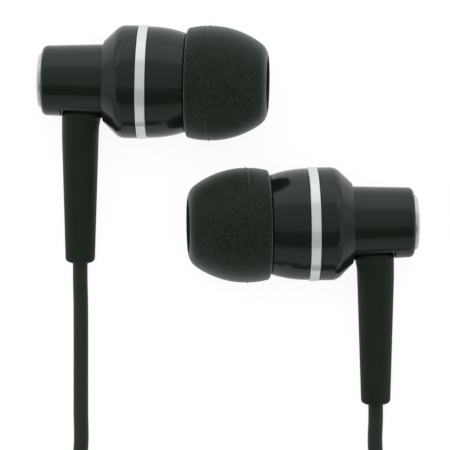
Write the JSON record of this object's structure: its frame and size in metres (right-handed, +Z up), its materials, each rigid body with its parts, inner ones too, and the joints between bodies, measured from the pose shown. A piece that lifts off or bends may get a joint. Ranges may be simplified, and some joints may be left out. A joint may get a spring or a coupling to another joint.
{
  "type": "wired earphones",
  "caption": "In-ear wired earphones: mirrored round earpieces with silicone tips, tapered strain reliefs, cords wound up, a splitter and a jack plug.",
  "frame": {"origin": "on the table, below the middle of the two earpieces' bounding box", "axes": "+Z up from the table; +X from the left earpiece to the right one; -Y the way the cords leave"},
  "size_m": [0.051, 0.1406, 0.0128],
  "materials": {
    "gloss_black": "glossy black moulded plastic",
    "satin_rubber": "satin black moulded rubber",
    "black_silicone": "matte black silicone",
    "cord_jacket": "satin black cord jacket",
    "tie_rubber": "matte black tie",
    "trim_metal": "bright satin metal",
    "cap_metal": "spun bright metal",
    "steel_mesh": "fine woven steel",
    "plated_steel": "zinc plated steel",
    "magnet": "nickel plated magnet",
    "copper": "enamelled copper winding",
    "film": "thin clear polyester film",
    "board": "green lacquered board",
    "felt": "thin felt",
    "grey_plastic": "dark grey moulded plastic",
    "black_plastic": "black insulating plastic",
    "wire_jacket": "cord core and enamelled leads",
    "plated_contact": "polished plated contact"
  },
  "bodies": {
    "earphones": {"left_end_cap": "cap_metal", "left_rear_housing": "gloss_black", "left_trim_ring": "trim_metal", "left_front_housing": "gloss_black", "left_nozzle_screen": "steel_mesh", "left_strain_relief": "satin_rubber", "left_inner_cord": "wire_jacket", "left_driver_frame": "grey_plastic", "left_yoke": "plated_steel", "left_magnet": "magnet", "left_pole_plate": "plated_steel", "left_driver_cover": "plated_steel", "left_terminal_board": "board", "left_damping_felt": "felt", "right_end_cap": "cap_metal", "right_rear_housing": "gloss_black", "right_trim_ring": "trim_metal", "right_front_housing": "gloss_black", "right_nozzle_screen": "steel_mesh", "right_strain_relief": "satin_rubber", "right_inner_cord": "wire_jacket", "right_driver_frame": "grey_plastic", "right_yoke": "plated_steel", "right_magnet": "magnet", "right_pole_plate": "plated_steel", "right_driver_cover": "plated_steel", "right_terminal_board": "board", "right_damping_felt": "felt", "left_cord_upper": "cord_jacket", "left_coil": "cord_jacket", "left_cord_lower": "cord_jacket", "left_coil_tie": "tie_rubber", "right_cord_upper": "cord_jacket", "right_coil": "cord_jacket", "right_cord_lower": "cord_jacket", "right_coil_tie": "tie_rubber", "splitter": "satin_rubber", "main_cord_upper": "cord_jacket", "main_coil": "cord_jacket", "main_cord_lower": "cord_jacket", "main_coil_tie": "tie_rubber", "plug_boot": "satin_rubber", "plug_grip": "gloss_black", "plug_sleeve_contact": "plated_contact", "plug_insulators": "black_plastic", "plug_ring_contact": "plated_contact", "plug_tip_contact": "plated_contact"},
    "left_silicone_tip": {"left_ear_tip": "black_silicone"},
    "right_silicone_tip": {"right_ear_tip": "black_silicone"},
    "left_moving_coil": {"left_voice_coil": "copper", "left_diaphragm": "film"},
    "right_moving_coil": {"right_voice_coil": "copper", "right_diaphragm": "film"}
  },
  "joints": [
    {"name": "left_ear_tip_pull", "type": "slide", "parent": "earphones", "child": "left_silicone_tip", "axis": [0.9979, -0.0174, 0.0628], "range_m": [0, 0.008]},
    {"name": "right_ear_tip_pull", "type": "slide", "parent": "earphones", "child": "right_silicone_tip", "axis": [-0.9979, -0.0174, 0.0628], "range_m": [0, 0.008]},
    {"name": "left_coil_stroke", "type": "slide", "parent": "earphones", "child": "left_moving_coil", "axis": [0.9979, -0.0174, 0.0628], "range_m": [-0.0001, 0.0001], "stiffness_N_per_m": 40},
    {"name": "right_coil_stroke", "type": "slide", "parent": "earphones", "child": "right_moving_coil", "axis": [-0.9979, -0.0174, 0.0628], "range_m": [-0.0001, 0.0001], "stiffness_N_per_m": 40}
  ]
}
